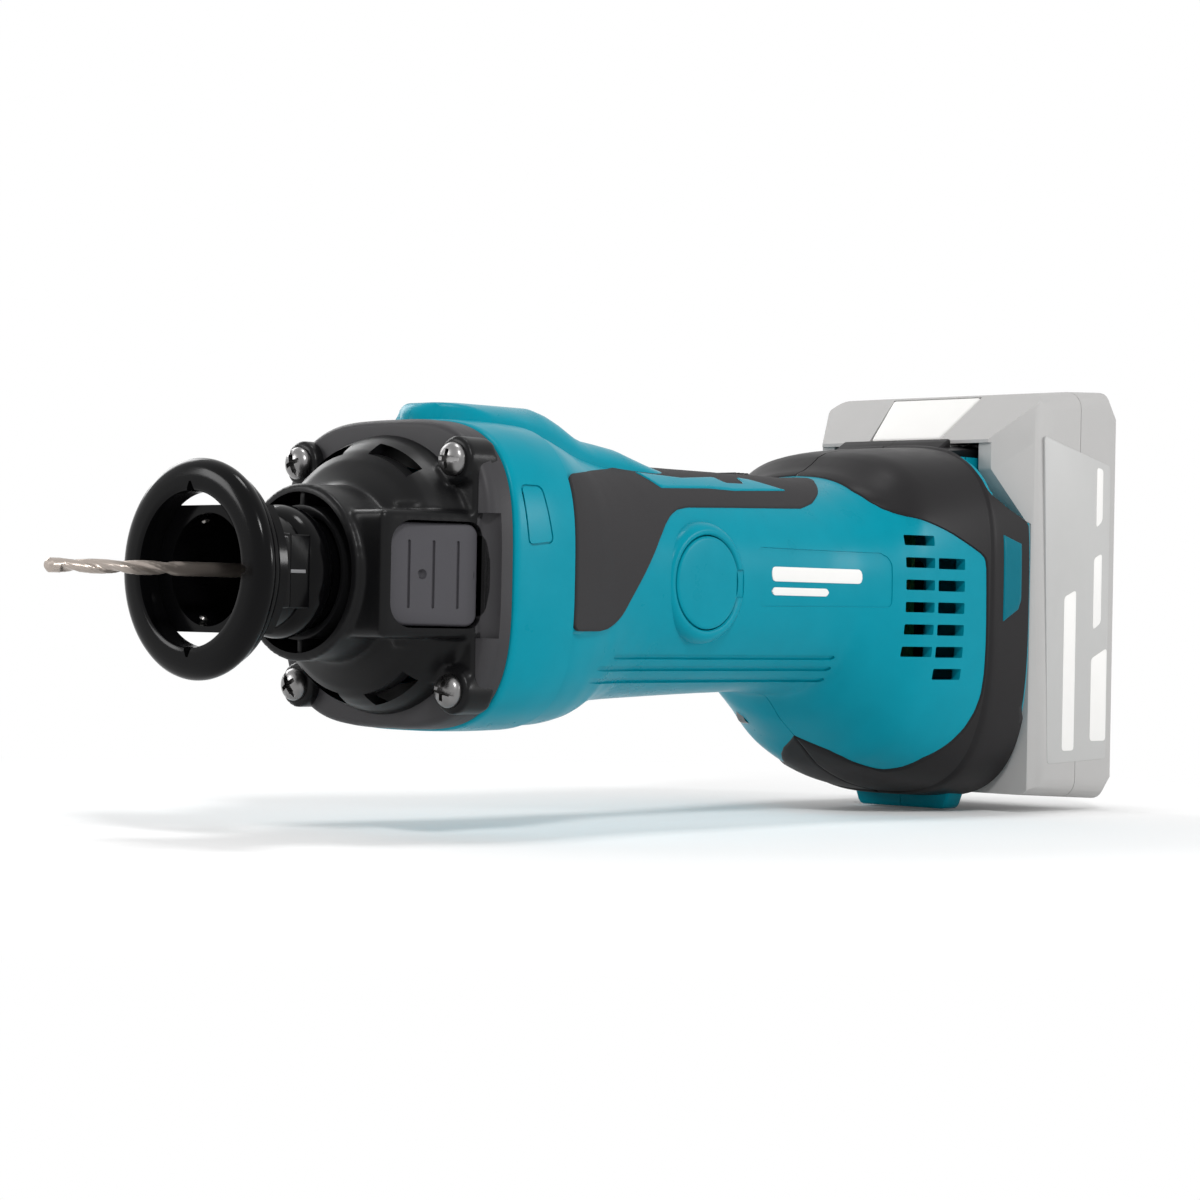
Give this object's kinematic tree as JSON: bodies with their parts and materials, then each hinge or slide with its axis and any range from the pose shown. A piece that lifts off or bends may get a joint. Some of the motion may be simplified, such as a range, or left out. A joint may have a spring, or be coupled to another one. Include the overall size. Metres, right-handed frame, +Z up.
{
  "type": "trim router",
  "caption": "Cordless in-line cut-out router: ring shoe on a sliding depth stem, collet and bit on a direct-drive motor, slide switch, side shaft lock and slide-on battery.",
  "frame": {"origin": "where the spindle axis meets the front face of the shoe ring", "axes": "+X runs back along the spindle axis towards the battery, +Z is up, and -Y is the side with the shaft-lock button"},
  "size_m": [0.3455, 0.075, 0.1172],
  "materials": {
    "housing_teal": "satin moulded plastic",
    "nose_black": "satin glass-filled plastic",
    "grip_rubber": "fine speckled soft overmould",
    "bumper_rubber": "smooth soft overmould",
    "shoe_gloss": "glossy black moulding",
    "button_grey": "matt dark grey",
    "mark_grey": "matt light grey",
    "steel": "bright turned steel",
    "screw_steel": "bright zinc-plated steel",
    "bit_steel": "warm ground high-speed steel",
    "copper": "enamelled copper",
    "magnet": "dull ferrite",
    "carbon": "dull carbon",
    "board_green": "solder mask",
    "battery_grey": "pale grey moulding",
    "latch_white": "white moulding",
    "cell_wrap": null,
    "wire": "insulated wire"
  },
  "bodies": {
    "housing": {"badge_inlays": "housing_teal", "board_heat_sink": "steel", "brush_cap_left": "nose_black", "brush_cap_right": "nose_black", "brush_holder_left": "nose_black", "brush_holder_right": "nose_black", "brush_spring_left": "steel", "brush_spring_right": "steel", "cap_cover_left": "housing_teal", "cap_cover_right": "housing_teal", "capacitor": "button_grey", "case_screws": "screw_steel", "clamp_pad": "button_grey", "clamp_pin": "steel", "control_board": "board_green", "flange_screws": "screw_steel", "front_bearing_outer_race": "steel", "grip_left": "grip_rubber", "grip_right": "grip_rubber", "housing_left": "housing_teal", "housing_right": "housing_teal", "magnets": "magnet", "motor_yoke": "steel", "nose_housing": "nose_black", "power_wires": "wire", "rear_bearing_outer_race": "steel", "rear_bumper_left": "bumper_rubber", "rear_bumper_right": "bumper_rubber", "shaft_lock_spring": "steel", "switch_body": "nose_black", "terminal_blades": "copper", "terminal_block": "nose_black"},
    "shoe": {"shoe_ring": "shoe_gloss", "shoe_stem": "shoe_gloss", "shoe_rivets": "steel", "index_line": "mark_grey"},
    "depth_clamp": {"clamp_lever": "nose_black"},
    "shaft_lock": {"shaft_lock_button": "button_grey", "shaft_lock_pin": "steel"},
    "rotor": {"cutting_bit": "bit_steel", "spindle": "steel", "collet": "steel", "collet_nut": "steel", "front_bearing_inner_race": "steel", "rear_bearing_inner_race": "steel", "fan": "nose_black", "armature_core": "steel", "armature_windings": "copper", "commutator": "copper"},
    "brush_right": {"carbon_brush_right": "carbon"},
    "brush_left": {"carbon_brush_left": "carbon"},
    "switch_slide": {"switch_stalk": "button_grey", "switch_knob": "nose_black"},
    "battery": {"battery_case": "battery_grey", "battery_cover": "battery_grey", "battery_cells": "cell_wrap"},
    "latch": {"battery_latch": "latch_white"}
  },
  "joints": [
    {"name": "spindle_spin", "type": "hinge", "parent": "housing", "child": "rotor", "pos_m": [0.1, 0, 0], "axis": [1, 0, 0], "continuous": true},
    {"name": "shaft_lock_press", "type": "slide", "parent": "housing", "child": "shaft_lock", "axis": [0, 1, 0], "range_m": [0, 0.003], "stiffness_N_per_m": 600, "springref_m": -0.002, "deforming": ["shaft_lock_spring"]},
    {"name": "shoe_depth", "type": "slide", "parent": "housing", "child": "shoe", "axis": [-1, 0, 0], "range_m": [0, 0.007]},
    {"name": "depth_clamp_lever", "type": "hinge", "parent": "housing", "child": "depth_clamp", "pos_m": [0.0387, 0.0238, 0], "axis": [0, 0, 1], "range_deg": [0, 55]},
    {"name": "brush_right_wear", "type": "slide", "parent": "housing", "child": "brush_right", "axis": [0, -1, 0], "range_m": [0, 0.003], "stiffness_N_per_m": 100, "springref_m": -0.003, "deforming": ["brush_spring_right"]},
    {"name": "brush_left_wear", "type": "slide", "parent": "housing", "child": "brush_left", "axis": [0, 1, 0], "range_m": [0, 0.003], "stiffness_N_per_m": 100, "springref_m": -0.003, "deforming": ["brush_spring_left"]},
    {"name": "switch_slide", "type": "slide", "parent": "housing", "child": "switch_slide", "axis": [-1, 0, 0], "range_m": [0, 0.006]},
    {"name": "battery_slide", "type": "slide", "parent": "housing", "child": "battery", "axis": [0, 0, 1], "range_m": [0, 0.1]},
    {"name": "battery_latch_press", "type": "slide", "parent": "battery", "child": "latch", "axis": [1, 0, 0], "range_m": [0, 0.0025], "stiffness_N_per_m": 400, "springref_m": -0.002}
  ]
}
